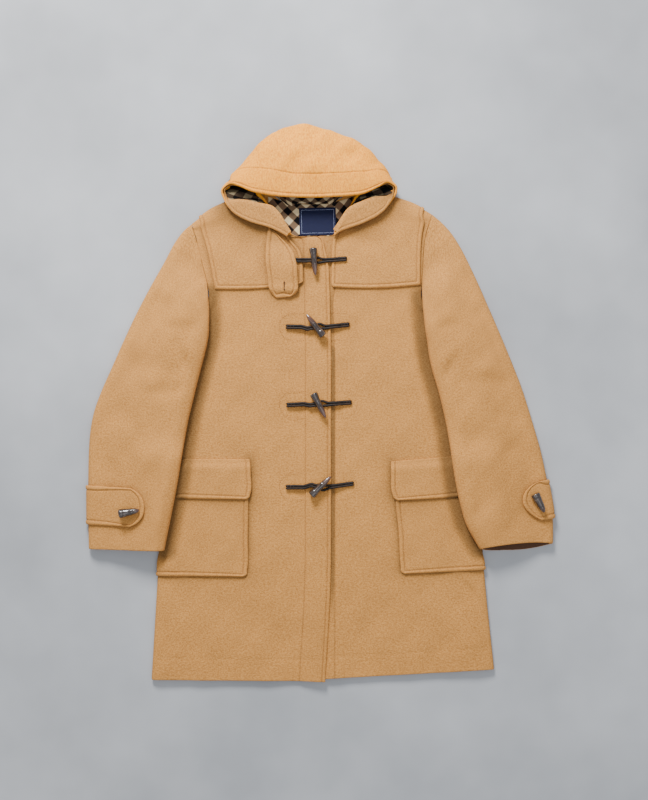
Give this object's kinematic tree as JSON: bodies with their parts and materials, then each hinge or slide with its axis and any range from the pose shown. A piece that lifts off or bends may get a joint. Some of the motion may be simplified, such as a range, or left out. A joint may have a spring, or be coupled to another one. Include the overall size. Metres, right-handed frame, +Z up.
{
  "type": "duffle coat",
  "caption": "Hooded wool duffle coat laid flat on its back, front closed with horn toggles on leather cords, patch pockets with flaps, cuff straps and a throat tab.",
  "frame": {"origin": "on the surface the coat lies on, under the middle of its outline", "axes": "+Z up from the surface, +Y from the hem to the hood, +X towards the wearer's left"},
  "size_m": [0.8686, 1.031, 0.0484],
  "materials": {
    "wool": "matt brushed wool melton",
    "check_lining": "matt woven check",
    "cuff_lining": "smooth lining",
    "label": "woven label",
    "horn": "polished horn",
    "cord": "dark brown leather cord"
  },
  "bodies": {
    "root": {"back": "wool", "front_right": "wool", "front_left": "wool", "yoke_right": "wool", "yoke_left": "wool", "sleeve_right_top": "wool", "sleeve_right_under": "wool", "sleeve_left_top": "wool", "sleeve_left_under": "wool", "pocket_right": "wool", "pocket_left": "wool", "pocket_flap_right": "wool", "pocket_flap_left": "wool", "cuff_strap_right": "wool", "cuff_strap_left": "wool", "hood_shell": "wool", "hood_facing": "wool", "throat_tab": "wool", "hood_lining": "check_lining", "neck_lining": "check_lining", "cuff_lining_left": "cuff_lining", "label": "label", "toggle_1": "horn", "toggle_2": "horn", "toggle_3": "horn", "toggle_4": "horn", "cuff_toggle_right": "horn", "cuff_toggle_left": "horn", "cord_right_1": "cord", "cord_right_2": "cord", "cord_right_3": "cord", "cord_right_4": "cord", "cord_left_1": "cord", "cord_left_2": "cord", "cord_left_3": "cord", "cord_left_4": "cord"}
  },
  "joints": []
}
